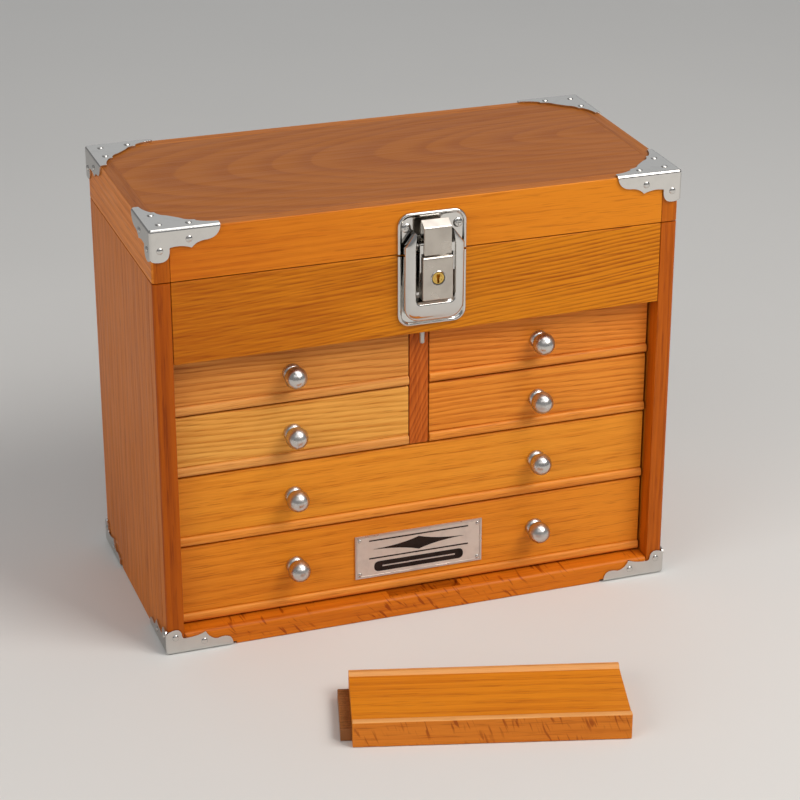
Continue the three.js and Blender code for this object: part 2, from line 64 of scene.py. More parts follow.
def add_camera():
    camera = bpy.data.objects.new("camera", bpy.data.cameras.new("camera"))
    bpy.context.scene.collection.objects.link(camera)
    back = Vector(
        (
            math.sin(CAMERA_AZIMUTH) * math.cos(CAMERA_ELEVATION),
            -math.cos(CAMERA_AZIMUTH) * math.cos(CAMERA_ELEVATION),
            math.sin(CAMERA_ELEVATION),
        )
    )
    camera.location = CAMERA_TARGET + CAMERA_DISTANCE * back
    camera.rotation_euler = back.to_track_quat("Z", "Y").to_euler()
    camera.data.lens = CAMERA_LENS
    camera.data.sensor_width = CAMERA_SENSOR
    camera.data.clip_end = 20
    bpy.context.scene.camera = camera


# ---- node trees


def tone(red, green, blue):
    """A colour as it looks on a screen, 0 to 255, turned into the linear colour of a shader."""
    linear = []
    for value in (red, green, blue):
        share = value / 255
        linear.append(share / 12.92 if share <= 0.04045 else ((share + 0.055) / 1.055) ** 2.4)
    return (*linear, 1)


class Net:
    """A material and short ways to add nodes to it. Each method returns an output socket."""

    def __init__(self, name):
        self.material = bpy.data.materials.new(name)
        self.material.use_nodes = True
        self.tree = self.material.node_tree
        self.shader = self.tree.nodes["Principled BSDF"]

    def feed(self, socket, value):
        if isinstance(value, bpy.types.NodeSocket):
            self.tree.links.new(value, socket)
        else:
            socket.default_value = value

    def node(self, kind, settings=None, **inputs):
        made = self.tree.nodes.new("ShaderNode" + kind)
        for key, value in (settings or {}).items():
            setattr(made, key, value)
        for key, value in inputs.items():
            self.feed(made.inputs[key.replace("_", " ")], value)
        return made

    def math(self, operation, *values):
        made = self.node("Math", {"operation": operation})
        for socket, value in zip(made.inputs, values):
            self.feed(socket, value)
        return made.outputs[0]

    def scaled(self, vector, factors):
        made = self.node("VectorMath", {"operation": "MULTIPLY"})
        self.feed(made.inputs[0], vector)
        self.feed(made.inputs[1], factors)
        return made.outputs[0]

    def object_mm(self):
        """The place on the piece, in millimetres, which moves with the piece."""
        place = self.node("TexCoord").outputs["Object"]
        return self.scaled(place, (1 / MM, 1 / MM, 1 / MM))

    def noise(self, vector, scale=1, detail=2, roughness=0.5, seed=0, distortion=0):
        looks = dict(Scale=scale, Detail=detail, Roughness=roughness, Distortion=distortion)
        made = self.node("TexNoise", {"noise_dimensions": "4D"}, Vector=vector, W=seed, **looks)
        return made.outputs[0]

    def step(self, value, low, high, to_low=0, to_high=1):
        ends = dict(From_Min=low, From_Max=high, To_Min=to_low, To_Max=to_high)
        made = self.node("MapRange", {"interpolation_type": "SMOOTHSTEP"}, Value=value, **ends)
        return made.outputs[0]

    def mix(self, share, first, second):
        made = self.node("Mix", {"data_type": "RGBA"})
        self.feed(made.inputs[0], share)
        self.feed(made.inputs[6], first)
        self.feed(made.inputs[7], second)
        return made.outputs[2]

    def bump(self, height, distance_mm, strength=1):
        made = self.node("Bump", None, Height=height, Distance=distance_mm * MM, Strength=strength)
        self.feed(self.shader.inputs["Normal"], made.outputs[0])

    def set(self, **inputs):
        for key, value in inputs.items():
            self.feed(self.shader.inputs[key.replace("_", " ")], value)


# ---- materials


def oak(
    name,
    light,
    dark,
    axes="xzy",
    seed=0,
    ring=6.0,
    rings=0.4,
    pith=(-200, 0),
    tilt=0.0,
    lean=0.0,
    swell=0.0,
    sway=5.0,
    pores=0.4,
    flecks=0.0,
    fleck_angle=-50,
    painted_falloff=0.0,
    streaks=1.0,
    gloss=0.42,
    sheen=0.17,
):
    """Lacquered ring-porous oak. light and dark are its colours as a screen shows them. axes
    names the object's axes along the grain, across it and through the board. The rings are
    cylinders, `ring` mm apart, round a pith line that crosses the middle of the board at `pith`
    (across, through). tilt leans that line through the board, which draws cathedral arches,
    and lean slants it across the face. swell makes the rings bolder along the grain, the falloff
    weight paints light falling off along it, lighter towards its plus end and darker towards
    its minus end, and flecks adds the ray figure of a quartered face. streaks is the strength
    of the fine fibres, and sheen that of the lacquer."""
    net = Net(name)
    light, dark = tone(*light), tone(*dark)
    split = net.node("SeparateXYZ", None, Vector=net.object_mm())
    along, across, deep = (split.outputs["xyz".index(axis)] for axis in axes)
    grain = net.node("CombineXYZ", None, X=along, Y=across, Z=deep).outputs[0]

    wander = net.noise(net.scaled(grain, (0.008, 0.022, 0.022)), detail=2, seed=seed)
    drift = net.math("MULTIPLY_ADD", net.math("SUBTRACT", wander, 0.5), 2 * sway, -pith[0])
    drift = net.math("MULTIPLY_ADD", along, -lean, drift)
    a = net.math("ADD", across, drift)
    d = net.math("ADD", deep, net.math("MULTIPLY_ADD", along, tilt, -pith[1]))
    squares = net.math("ADD", net.math("MULTIPLY", a, a), net.math("MULTIPLY", d, d))
    radius = net.math("SQRT", squares)
    spread = net.node("CombineXYZ", None, X=net.math("MULTIPLY", radius, 0.3 / ring)).outputs[0]
    uneven = net.noise(spread, seed=seed)
    turns = net.math("ADD", net.math("DIVIDE", radius, ring), net.math("MULTIPLY", uneven, 3))
    phase = net.math("FRACT", turns)
    early = net.math("MULTIPLY", net.step(phase, 0.8, 0.12), net.step(phase, 0.0, 0.08))

    vessels = net.noise(net.scaled(grain, (0.06, 1.6, 1.6)), detail=1, seed=seed + 3)
    pore = net.math(
        "MULTIPLY",
        net.step(vessels, 0.52, 0.66),
        net.math("MULTIPLY_ADD", early, 0.7, 0.3),
    )
    fibres = net.noise(net.scaled(grain, (0.016, 0.5, 0.5)), detail=4, roughness=0.6, seed=seed + 7)
    clouds = net.noise(net.scaled(grain, (0.005, 0.02, 0.02)), detail=2, seed=seed + 11)

    boldness = net.math("MULTIPLY_ADD", along, swell, rings)
    shade = net.math("MULTIPLY", early, net.math("MAXIMUM", boldness, 0.05))
    shade = net.math("ADD", shade, net.step(fibres, 0.3, 0.72, -0.16 * streaks, 0.3 * streaks))
    shade = net.math("ADD", shade, net.step(clouds, 0.3, 0.7, -0.12, 0.18))
    # Painted light falloff: the wood is painted lighter towards the plus end of the grain and darker
    # towards its minus end.
    shade = net.math("MULTIPLY_ADD", along, -painted_falloff, shade)
    shade = net.math("MINIMUM", net.math("MAXIMUM", shade, 0), 1)
    colour = net.mix(shade, light, dark)
    deep_tone = (dark[0] * 0.5, dark[1] * 0.36, dark[2] * 0.25, 1)
    colour = net.mix(net.math("MULTIPLY", pore, pores), colour, deep_tone)

    if flecks:
        turn = math.radians(fleck_angle)
        u = net.math(
            "ADD",
            net.math("MULTIPLY", along, math.cos(turn)),
            net.math("MULTIPLY", across, math.sin(turn)),
        )
        v = net.math(
            "SUBTRACT",
            net.math("MULTIPLY", across, math.cos(turn)),
            net.math("MULTIPLY", along, math.sin(turn)),
        )
        slanted = net.node("CombineXYZ", None, X=u, Y=v, Z=deep).outputs[0]
        narrow = net.scaled(slanted, (0.07, 0.5, 0.05))
        rays = net.noise(narrow, detail=1, seed=seed + 17, distortion=0.5)
        groups = net.noise(net.scaled(grain, (0.03, 0.05, 0.03)), detail=1, seed=seed + 19)
        grouped = net.step(groups, 0.42, 0.55, 0, flecks)
        fleck = net.math("MULTIPLY", net.step(rays, 0.56, 0.68), grouped)
        ray_tone = (dark[0] * 0.62, dark[1] * 0.46, dark[2] * 0.4, 1)
        colour = net.mix(fleck, colour, ray_tone)

    height = net.math("MULTIPLY_ADD", pore, -0.7, net.math("MULTIPLY", fibres, 0.25))
    net.bump(height, 0.1, 0.5)
    net.set(
        Base_Color=colour,
        Roughness=net.step(fibres, 0.3, 0.7, gloss - 0.05, gloss + 0.07),
        Specular_IOR_Level=sheen,
    )
    return net.material


def metal(name, colour, roughness, scratches=0.25, seed=0, worn=0.0, rim=0.8):
    """Plated or polished metal, with faint cloudy wear and fine scratches. rim is how much it
    reflects where it turns away from the eye."""
    net = Net(name)
    place = net.object_mm()
    clouds = net.noise(place, scale=0.12, detail=4, seed=seed)
    scratch = net.noise(net.scaled(place, (0.25, 3.0, 3.0)), detail=3, roughness=0.7, seed=seed + 5)
    tarnish = net.step(clouds, 0.45, 0.75)
    darker = tuple(0.8 * c for c in colour[:3]) + (1,)
    net.bump(scratch, 0.02, scratches)
    net.set(
        Base_Color=net.mix(net.math("MULTIPLY", tarnish, 0.3 + worn), colour, darker),
        Metallic=1.0,
        Roughness=net.step(clouds, 0.3, 0.75, roughness, roughness * 1.7 + worn * 0.2),
        Specular_Tint=(rim, rim, rim, 1),
    )
    return net.material


def felt(name, colour):
    """Short wool pile."""
    net = Net(name)
    place = net.object_mm()
    fuzz = net.noise(place, scale=2.2, detail=5, roughness=0.75)
    patches = net.noise(place, scale=0.05, detail=3, seed=4)
    pale = tuple(min(1, 1.9 * c + 0.01) for c in colour[:3]) + (1,)
    dusk = tuple(0.65 * c for c in colour[:3]) + (1,)
    base = net.mix(net.step(fuzz, 0.35, 0.7), dusk, pale)
    net.bump(fuzz, 0.35, 0.7)
    net.set(
        Base_Color=net.mix(net.step(patches, 0.3, 0.7, 0, 0.35), base, colour),
        Roughness=0.95,
        Sheen_Weight=0.4,
        Sheen_Roughness=0.5,
    )
    return net.material


NICKEL = metal("nickel", (0.66, 0.64, 0.61, 1), 0.07, scratches=0.12)
KNOB_NICKEL = metal("knob_nickel", (0.64, 0.61, 0.58, 1), 0.23, scratches=0.1, seed=7, rim=0.6)
NICKEL_SATIN = metal("nickel_satin", (0.58, 0.53, 0.47, 1), 0.26, scratches=0.3, seed=2)
STEEL = metal("steel", (0.55, 0.53, 0.5, 1), 0.3, seed=3)
BRASS = metal("brass", (0.76, 0.5, 0.13, 1), 0.2, seed=4)
PEWTER = metal("pewter", (0.82, 0.73, 0.66, 1), 0.42, scratches=0.5, seed=5, worn=0.1)
PEWTER_RIM = metal("pewter_rim", (0.66, 0.58, 0.54, 1), 0.25, scratches=0.4, seed=6)
ENAMEL_DARK = metal("dark_enamel", (0.05, 0.035, 0.03, 1), 0.5, scratches=0.4, seed=8, rim=0.1)
FELT = felt("green_felt", (0.012, 0.075, 0.035, 1))

# Each board of the chest is its own piece of wood: how it is coloured and how it was sawn.
# The boards inside are paler and duller.
INSIDE = dict(light=(214, 172, 116), dark=(178, 130, 78), pores=0.35, gloss=0.6)
# Some looks also paint light: a falloff weight paints a board lighter towards one end and darker
# towards the other, as light falls off across it.
OAK_LOOKS = {
    "lid_front": dict(
        light=(221, 131, 26), dark=(178, 79, 6), rings=0.15, pores=0.28, painted_falloff=0.003,
        streaks=0.6, seed=1,
    ),
    "lid_back": dict(light=(226, 132, 26), dark=(184, 90, 8), seed=2),
    "lid_left": dict(light=(214, 126, 40), dark=(180, 92, 14), axes="yzx", seed=3),
    "lid_right": dict(light=(206, 118, 30), dark=(166, 84, 12), axes="yzx", seed=4),
    "lid_top": dict(
        light=(172, 98, 20), dark=(146, 74, 12), axes="xyz", ring=8, pith=(8, 335), tilt=0.25,
        sway=9, pores=0.25, streaks=0.5, sheen=0.12, seed=5,
    ),
    "lid_rim": dict(light=(194, 112, 22), dark=(164, 86, 12), axes="xyz", ring=7, sheen=0.12, seed=27),
    "lid_rim_end": dict(
        light=(172, 98, 18), dark=(144, 74, 10), axes="yxz", ring=7, sheen=0.12, seed=33,
    ),
    "lid_end_left": dict(light=(180, 92, 10), dark=(144, 62, 2), axes="zxy", ring=3.4, seed=28),
    "lid_end_right": dict(light=(196, 104, 16), dark=(160, 74, 6), axes="zxy", ring=3.4, seed=29),
    # The lip looks are paler copies of the drawer wood: a painted highlight where light catches the
    # rounded lips.
    "lip": dict(light=(230, 146, 58), dark=(198, 106, 26), rings=0.3, seed=30),
    "pale_lip_highlight": dict(light=(226, 158, 82), dark=(196, 118, 46), rings=0.3, seed=31),
    "upper_front_panel": dict(
        light=(212, 128, 16), dark=(146, 60, 0), ring=2.7, lean=0.09, swell=0.0022, sway=3,
        pores=0.35, painted_falloff=0.0018, seed=6,
    ),
    "left_side": dict(light=(196, 108, 14), dark=(156, 76, 2), axes="zyx", ring=8, rings=0.3, seed=7),
    "right_side": dict(light=(186, 106, 20), dark=(146, 72, 6), axes="zyx", ring=8, rings=0.3, seed=8),
    "left_stile": dict(light=(172, 82, 4), dark=(134, 54, 0), axes="zxy", ring=3.4, seed=9),
    "right_stile": dict(light=(184, 90, 10), dark=(146, 62, 2), axes="zxy", ring=3.4, seed=10),
    "centre_divider": dict(
        light=(204, 104, 32), dark=(150, 62, 10), axes="zxy", ring=3, rings=0.45, lean=0.45, sway=3,
        seed=11,
    ),
    "bottom_rail": dict(
        light=(210, 114, 20), dark=(172, 76, 4), ring=8, rings=0.2, flecks=0.8, painted_falloff=0.001, seed=12,
    ),
    "back_panel": dict(
        light=(205, 120, 30), dark=(160, 80, 12), ring=8, pith=(0, 120), tilt=0.2, sway=9, seed=13,
    ),
    "bar": dict(light=(220, 134, 28), dark=(190, 100, 12), axes="xyz", ring=9, rings=0.35, seed=14),
    "bar_flecked": dict(
        light=(214, 124, 36), dark=(184, 92, 20), ring=9, rings=0.2, flecks=0.8, fleck_angle=-70,
        seed=18,
    ),
    # A paler copy of the bar's wood, a painted highlight for the tops of its lips.
    "bar_lip_highlight": dict(light=(228, 162, 94), dark=(202, 126, 58), axes="xyz", ring=9, rings=0.3, seed=32),
    "bar_end": dict(light=(150, 98, 56), dark=(104, 62, 30), axes="zyx", ring=2, rings=0.6, seed=19),
    "inside": dict(INSIDE, seed=15),
    "inside_flat": dict(
        INSIDE, light=(210, 168, 112), dark=(172, 124, 74), axes="xyz", ring=7, seed=16,
    ),
    "inside_side": dict(INSIDE, axes="yzx", seed=17),
    "bottom_drawer": dict(
        light=(226, 136, 34), dark=(192, 96, 10), ring=8, rings=0.25, painted_falloff=0.0008, seed=21,
    ),
    "lower_drawer": dict(
        light=(232, 148, 44), dark=(200, 108, 14), ring=9, rings=0.25, painted_falloff=0.0007, seed=22,
    ),
    "middle_left_drawer": dict(
        light=(234, 168, 78), dark=(198, 120, 38), ring=4, rings=0.5, lean=-0.05, seed=23,
    ),
    "middle_right_drawer": dict(
        light=(230, 142, 48), dark=(190, 94, 18), ring=4, rings=0.5, lean=-0.03, seed=24,
    ),
    "top_left_drawer": dict(
        light=(222, 148, 68), dark=(182, 98, 30), ring=3.8, rings=0.5, lean=-0.04, seed=25,
    ),
    "top_right_drawer": dict(
        light=(234, 143, 52), dark=(192, 94, 18), ring=3.8, rings=0.5, lean=-0.06, seed=26,
    ),
}
OAK = {name: oak(f"oak_{name}", **look) for name, look in OAK_LOOKS.items()}


# ---- mesh tools


def box_mm(node):
    low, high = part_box(node)
    return low / MM, high / MM


def middle_mm(node):
    low, high = box_mm(node)
    return (low + high) / 2


def box(low, high):
    bm = bmesh.new()
    bmesh.ops.create_cube(bm, size=1)
    low, high = Vector(low), Vector(high)
    size = high - low
    middle = (low + high) / 2
    for vertex in bm.verts:
        vertex.co = Vector(c * s for c, s in zip(vertex.co, size)) + middle
    return bm


SHARP_ANGLE = math.radians(32)


def soften(bm, radius, segments=2, where=None):
    """Rounds the sharp edges, or only those whose middle passes `where`."""
    edges = [
        edge
        for edge in bm.edges
        if len(edge.link_faces) == 2
        and edge.calc_face_angle() > SHARP_ANGLE
        and (where is None or where((edge.verts[0].co + edge.verts[1].co) / 2))
    ]
    bmesh.ops.bevel(
        bm,
        geom=edges,
        offset=radius,
        segments=segments,
        profile=0.5,
        affect="EDGES",
        clamp_overlap=True,
    )
    return bm


def board(low, high, radius=0.5, segments=2):
    return soften(box(low, high), radius, segments)


def bend(start, control, end, steps=6):
    """Points after `start` on a curve that leaves it towards `control` and comes in at `end`."""
    points = []
    for i in range(1, steps + 1):
        t = i / steps
        point = [
            (1 - t) ** 2 * s + 2 * t * (1 - t) * c + t * t * e
            for s, c, e in zip(start, control, end)
        ]
        points.append(tuple(point))
    return points


def path(start, *moves, steps=6):
    """An outline: each move is a point, or a (control, end) pair for a curve."""
    points = [start]
    for move in moves:
        if isinstance(move[0], tuple):
            points += bend(points[-1], move[0], move[1], steps)
        else:
            points.append(move)
    return points


PLACED = {
    "X": lambda u, v, w: (w, u, v),
    "Y": lambda u, v, w: (u, w, v),
    "Z": lambda u, v, w: (u, v, w),
}


SAME_POINT = 1e-4  # points closer than this are made into one


def loft(rings, closed=False):
    """A solid through rings with equal numbers of points. Its two ends are filled, or, if it is
    closed, its last ring is joined to its first."""
    bm = bmesh.new()
    rows = [[bm.verts.new(point) for point in ring] for ring in rings]
    count = len(rows[0])
    followers = rows[1:] + rows[:1] if closed else rows[1:]
    for near, far in zip(rows, followers):
        for i in range(count):
            j = (i + 1) % count
            bm.faces.new((near[i], near[j], far[j], far[i]))
    if not closed:
        bm.faces.new(rows[0])
        bm.faces.new(rows[-1])
    bmesh.ops.remove_doubles(bm, verts=bm.verts, dist=SAME_POINT)
    bmesh.ops.recalc_face_normals(bm, faces=bm.faces)
    return bm


def extrusion(outline, axis, start, end):
    place = PLACED[axis]
    return loft([[place(u, v, w) for u, v in outline] for w in (start, end)])


def circle(segments):
    """The cosine and the sine of each step of a full turn."""
    angles = [2 * math.pi * i / segments for i in range(segments)]
    return [(math.cos(angle), math.sin(angle)) for angle in angles]


def turned(profile, place, segments=32):
    """A body of revolution about Z through [(radius, height)], then moved by a matrix."""
    bm = loft([[(r * c, r * s, h) for c, s in circle(segments)] for r, h in profile])
    bm.transform(place)
    return bm


def tube(section, place, segments):
    """A closed section [(radius, height)] turned round Z, then moved by a matrix."""
    bm = loft([[(r * c, r * s, h) for r, h in section] for c, s in circle(segments)], closed=True)
    bm.transform(place)
    return bm


def towards(direction, at):
    """Puts the Z axis along a direction, from a point."""
    turn = Vector(direction).to_track_quat("Z", "Y").to_matrix().to_4x4()
    return Matrix.Translation(Vector(at)) @ turn


FRONTWARD = Vector((0, -1, 0))


def dome(radius, height, place, segments=16, steps=5):
    """A round nail or pin head that stands on a surface."""
    profile = [(radius, -0.3), (radius, 0)]
    for i in range(1, steps + 1):
        angle = math.pi / 2 * i / steps
        profile.append((radius * math.cos(angle), height * math.sin(angle)))
    profile[-1] = (0, height)
    return turned(profile, place, segments)


def joined(*parts):
    """One mesh from several, each part left as its own shell."""
    whole = bmesh.new()
    for part in parts:
        mesh = bpy.data.meshes.new("part")
        part.to_mesh(mesh)
        part.free()
        whole.from_mesh(mesh)
        bpy.data.meshes.remove(mesh)
    return whole


def object_from(bm, name):
    mesh = bpy.data.meshes.new(name)
    bm.to_mesh(mesh)
    bm.free()
    made = bpy.data.objects.new(name, mesh)
    bpy.context.scene.collection.objects.link(made)
    return made


def evaluated(made):
    """The object's mesh with its modifiers applied, as a bmesh; the object is removed."""
    graph = bpy.context.evaluated_depsgraph_get()
    graph.update()
    bm = bmesh.new()
    bm.from_mesh(made.evaluated_get(graph).to_mesh())
    bpy.data.objects.remove(made)
    return bm


def carved(bm, *cutters):
    """The shape with the cutters taken out of it."""
    made = object_from(bm, "carved")
    tools = [object_from(cutter, "cutter") for cutter in cutters]
    for tool in tools:
        cut = made.modifiers.new("cut", "BOOLEAN")
        cut.object = tool
        cut.operation = "DIFFERENCE"
        cut.solver = "EXACT"
    rest = evaluated(made)
    for tool in tools:
        bpy.data.objects.remove(tool)
    return rest


def piece(name, bm, material, body, stands_for=None, sharp=38, place=None):
    """Makes the object in metres, shades it, ties it to its body, and hides the CAD node it stands
    for.
    """
    bm.transform(Matrix.Scale(MM, 4))
    made = object_from(bm, name)
    for polygon in made.data.polygons:
        polygon.use_smooth = True
    made.data.set_sharp_from_angle(angle=math.radians(sharp))
    made.data.materials.append(material)
    normals = made.modifiers.new("normals", "WEIGHTED_NORMAL")
    normals.keep_sharp = True
    if place is not None:
        made.matrix_world = place
    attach(made, body)
    if stands_for:
        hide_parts(stands_for)
    return made


def refaced(made, material, test):
    """Gives another material to the faces whose middle, in millimetres, and normal pass a test."""
    made.data.materials.append(material)
    for polygon in made.data.polygons:
        if test(polygon.center / MM, polygon.normal):
            polygon.material_index = len(made.data.materials) - 1


# ---- places taken from the frame

CASE_LOW = box_mm("left_side")[0]
CASE_HIGH = box_mm("right_side")[1]
LID_HIGH = box_mm("lid_right")[1]
FRONT_Y = CASE_LOW.y
SIDE_X = CASE_HIGH.x
STILE_DEPTH = box_mm("centre_divider")[0].y - FRONT_Y
CORNER_ROUND = 2.6  # the upright outer corners of the case and the lid
EDGE_ROUND = 0.5
BUTT_ROUND = 0.15  # where boards meet flush
ON_PLANE = 0.01  # how far off a plane a point may be and still count as lying on it


def outer_corner(middle):
    """Whether an edge's middle lies on one of the chest's four upright corners."""
    on_side = abs(abs(middle.x) - SIDE_X) < ON_PLANE
    on_front_or_back = abs(abs(middle.y) - abs(FRONT_Y)) < ON_PLANE
    return on_side and on_front_or_back


def outside(middle):
    """Whether an edge's or a face's middle lies in one of the chest's four outer planes."""
    on_side = abs(abs(middle.x) - SIDE_X) < ON_PLANE
    return on_side or abs(abs(middle.y) - abs(FRONT_Y)) < ON_PLANE


def at_ends(low_x, high_x):
    """A test for edges that lie in either end plane of something along X."""
    return lambda middle: min(abs(middle.x - low_x), abs(middle.x - high_x)) < ON_PLANE


def foot_pockets():
    """Room under the case for the flat plates of the base brackets."""
    reach = 44.8
    depth = 1.6
    for sx in (-1, 1):
        for sy in (-1, 1):
            xs = sorted((sx * (SIDE_X - reach), sx * (SIDE_X + 2)))
            ys = sorted((sy * (abs(FRONT_Y) - reach), sy * (abs(FRONT_Y) + 2)))
            yield box((xs[0], ys[0], -2), (xs[1], ys[1], depth))


# ---- case


def build_sides():
    for side in ("left", "right"):
        node = f"{side}_side"
        low, high = box_mm(node)
        joint_y = FRONT_Y + STILE_DEPTH
        stile = box(low, (high.x, joint_y - 0.15, high.z))
        soften(stile, CORNER_ROUND, 5, outer_corner)
        soften(stile, EDGE_ROUND, 2)
        stile = carved(stile, *foot_pockets())
        stile = piece(f"{side}_stile", stile, OAK[f"{side}_stile"], "case", node)
        refaced(stile, OAK[node], lambda middle, normal: abs(normal.x) > 0.8 and outside(middle))
        panel = box((low.x, joint_y, low.z), high)
        soften(panel, CORNER_ROUND, 5, outer_corner)
        soften(panel, 0.35, 2)
        panel = carved(panel, *foot_pockets())
        piece(f"{side}_side_panel", panel, OAK[node], "case", node)


RAIL_ROUND = 3
BAR_SLOT = ((-21, -80.2), (28, -71.4))  # opposite corners of the slot that takes the bar's tongue
BAR_SLOT_DEPTH = 7.5


def build_base():
    low, high = box_mm("bottom_rail")
    rail = box(low, high)
    front_y, top_z = low.y, high.z
    soften(
        rail,
        RAIL_ROUND,
        5,
        lambda m: abs(m.y - front_y) < ON_PLANE and abs(m.z - top_z) < ON_PLANE,
    )
    soften(rail, 0.4, 2)
    slot_low, slot_high = BAR_SLOT
    slot = box((*slot_low, top_z - BAR_SLOT_DEPTH), (*slot_high, top_z + 5))
    rail = carved(rail, slot, *foot_pockets())
    piece("bottom_rail_piece", rail, OAK["bottom_rail"], "case", "bottom_rail")

    low, high = box_mm("base_board")
    floor = carved(board(low, high, 0.4), *foot_pockets())
    piece("base_board_piece", floor, OAK["inside_flat"], "case", "base_board")


def build_panels():
    low, high = box_mm("back_panel")
    back = carved(board(low, high, 0.5), *foot_pockets())
    piece("back_panel_piece", back, OAK["back_panel"], "case", "back_panel")

    low, high = box_mm("upper_front_panel")
    pin = middle_mm("lock_pin")
    hole = turned([(2, low.z - 5), (2, high.z + 5)], Matrix.Translation((pin.x, pin.y, 0)), 24)
    panel = carved(board(low, high, EDGE_ROUND, 3), hole)
    piece("upper_panel_piece", panel, OAK["upper_front_panel"], "case", "upper_front_panel")

    low, high = box_mm("centre_divider")
    divider = board(low, high, EDGE_ROUND)
    wood = OAK["centre_divider"]
    piece("centre_divider_piece", divider, wood, "case", "centre_divider")
    runners = [f"runner_board_{place}" for place in ("lower", "middle", "left", "right")]
    for node in ("till_floor", *runners):
        shelf = board(*box_mm(node), 0.35)
        piece(f"{node}_piece", shelf, OAK["inside_flat"], "case", node)


# ---- lid


LID_RIM_ROUND = 0.9
PANEL_GAP = Vector((0.08, 0.08, 0))  # all round the panel that is let into the lid


def build_lid():
    panel_low, panel_high = box_mm("lid_top")
    for node in ("lid_left", "lid_right", "lid_front", "lid_back"):
        low, high = box_mm(node)
        rail = box(low, high)
        recess_low = panel_low - PANEL_GAP - Vector((0, 0, 0.3))
        recess_high = panel_high + PANEL_GAP + Vector((0, 0, 5))
        rail = carved(rail, box(recess_low, recess_high))
        bmesh.ops.dissolve_limit(rail, angle_limit=0.01, verts=rail.verts, edges=rail.edges)
        soften(rail, CORNER_ROUND, 5, outer_corner)
        soften(rail, LID_RIM_ROUND, 3, lambda m: m.z > high.z - ON_PLANE and outside(m))
        soften(rail, BUTT_ROUND, 2)
        rail = piece(f"{node}_piece", rail, OAK[node], "lid", node)
        at_end = node in ("lid_left", "lid_right")
        rim = OAK["lid_rim_end" if at_end else "lid_rim"]
        refaced(rail, rim, lambda middle, normal: normal.z > 0.8)
        if at_end:
            stile = OAK[node.replace("lid", "lid_end")]
            refaced(rail, stile, lambda middle, normal: normal.y < -0.8)
    top = board(panel_low, panel_high, 0.08, 1)
    piece("lid_top_piece", top, OAK["lid_top"], "lid", "lid_top")


# ---- drawers

DRAWERS = {
    "bottom_drawer": ("_left", "_right"),
    "lower_drawer": ("_left", "_right"),
    "middle_left_drawer": ("",),
    "middle_right_drawer": ("",),
    "top_left_drawer": ("",),
    "top_right_drawer": ("",),
}
DRAWERS_PALE = ("middle_left_drawer", "top_left_drawer")
LIP_HEIGHT = 6.4
LIP_REACH = 1.8
TRAY_SIDE = 5
TRAY_BOTTOM = 3
FINGER_PITCH = 14
FELT_GAP = 0.4
FELT_THICK = 0.95


def drawer_front(name):
    """A front with a rounded lip along its lower edge and a fine quirk above the lip."""
    low, high = box_mm(f"{name}_front")
    lip_y = low.y
    face_y = lip_y + LIP_REACH
    top = low.z + LIP_HEIGHT
    outline = path(
        (high.y, low.z),
        (high.y, high.z),
        (face_y + 1.4, high.z),
        ((face_y, high.z), (face_y, high.z - 1.2)),
        (face_y, top + 0.8),
        (face_y + 0.6, top + 0.5),
        (face_y + 0.6, top),
        ((lip_y + 0.1, top + 0.1), (lip_y, top - 2.6)),
        (lip_y, low.z + 2.8),
        ((lip_y, low.z + 0.6), (lip_y + 2.4, low.z)),
    )
    front = extrusion(outline, "X", low.x, high.x)
    soften(front, 0.35, 2, at_ends(low.x, high.x))
    front = piece(f"{name}_front_piece", front, OAK[name], name, f"{name}_front")
    # The lip's front faces get the paler copy of the wood, a painted highlight along the lip.
    lip = OAK["pale_lip_highlight" if name in DRAWERS_PALE else "lip"]
    refaced(front, lip, lambda middle, normal: middle.z < top + 0.1 and normal.y < -0.2)


def finger_board(low, high, axis, ends, odd):
    """A tray board with finger joints. `ends` lists the ends with fingers, -1 or 1."""
    cutters = []
    fingers = 2 * max(2, round((high.z - low.z) / FINGER_PITCH)) + 1
    pitch = (high.z - low.z) / fingers
    length = TRAY_SIDE + 0.02
    for end in ends:
        for i in range(fingers):
            if (i % 2 == 1) == odd:
                a, b = Vector(low) - Vector((1, 1, 0)), Vector(high) + Vector((1, 1, 0))
                a.z = low.z + i * pitch - (1 if i == 0 else 0)
                b.z = low.z + (i + 1) * pitch + (1 if i == fingers - 1 else 0)
                k = "xyz".index(axis)
                if end > 0:
                    a[k] = high[k] - length
                else:
                    b[k] = low[k] + length
                cutters.append(box(a, b))
    shape = box(low, high)
    soften(shape, 0.5, 2, lambda m: abs(m.z - high.z) < ON_PLANE)
    return carved(shape, *cutters)


def drawer_tray(name):
    node = f"{name}_tray"
    low, high = box_mm(node)
    walls = [
        finger_board(low, Vector((low.x + TRAY_SIDE, high.y, high.z)), "y", (1,), True),
        finger_board(Vector((high.x - TRAY_SIDE, low.y, low.z)), high, "y", (1,), True),
    ]
    piece(f"{name}_sides", joined(*walls), OAK["inside_side"], name, node)
    inset = TRAY_SIDE + 0.05
    front_high = (high.x - inset, low.y + TRAY_SIDE, high.z)
    inner_front = board((low.x + inset, low.y, low.z), front_high, 0.4)
    back = finger_board(Vector((low.x, high.y - TRAY_SIDE, low.z)), high, "x", (-1, 1), False)
    piece(f"{name}_back", joined(inner_front, back), OAK["inside"], name, node)
    floor_low = Vector((low.x + TRAY_SIDE, low.y + TRAY_SIDE, low.z + 0.2))
    floor_high = Vector((high.x - TRAY_SIDE, high.y - TRAY_SIDE, low.z + TRAY_BOTTOM))
    floor = board(floor_low, floor_high, 0.2)
    piece(f"{name}_floor", floor, OAK["inside_flat"], name, node)
    lining(f"{name}_felt", floor_low, floor_high, name)


def lining(name, low, high, body):
    """Felt cut to fit inside, lying on a floor board."""
    bottom = high.z + 0.05
    low = Vector((low.x + FELT_GAP, low.y + FELT_GAP, bottom))
    high = Vector((high.x - FELT_GAP, high.y - FELT_GAP, bottom + FELT_THICK))
    cloth = piece(name, board(low, high, 0.35), FELT, body)


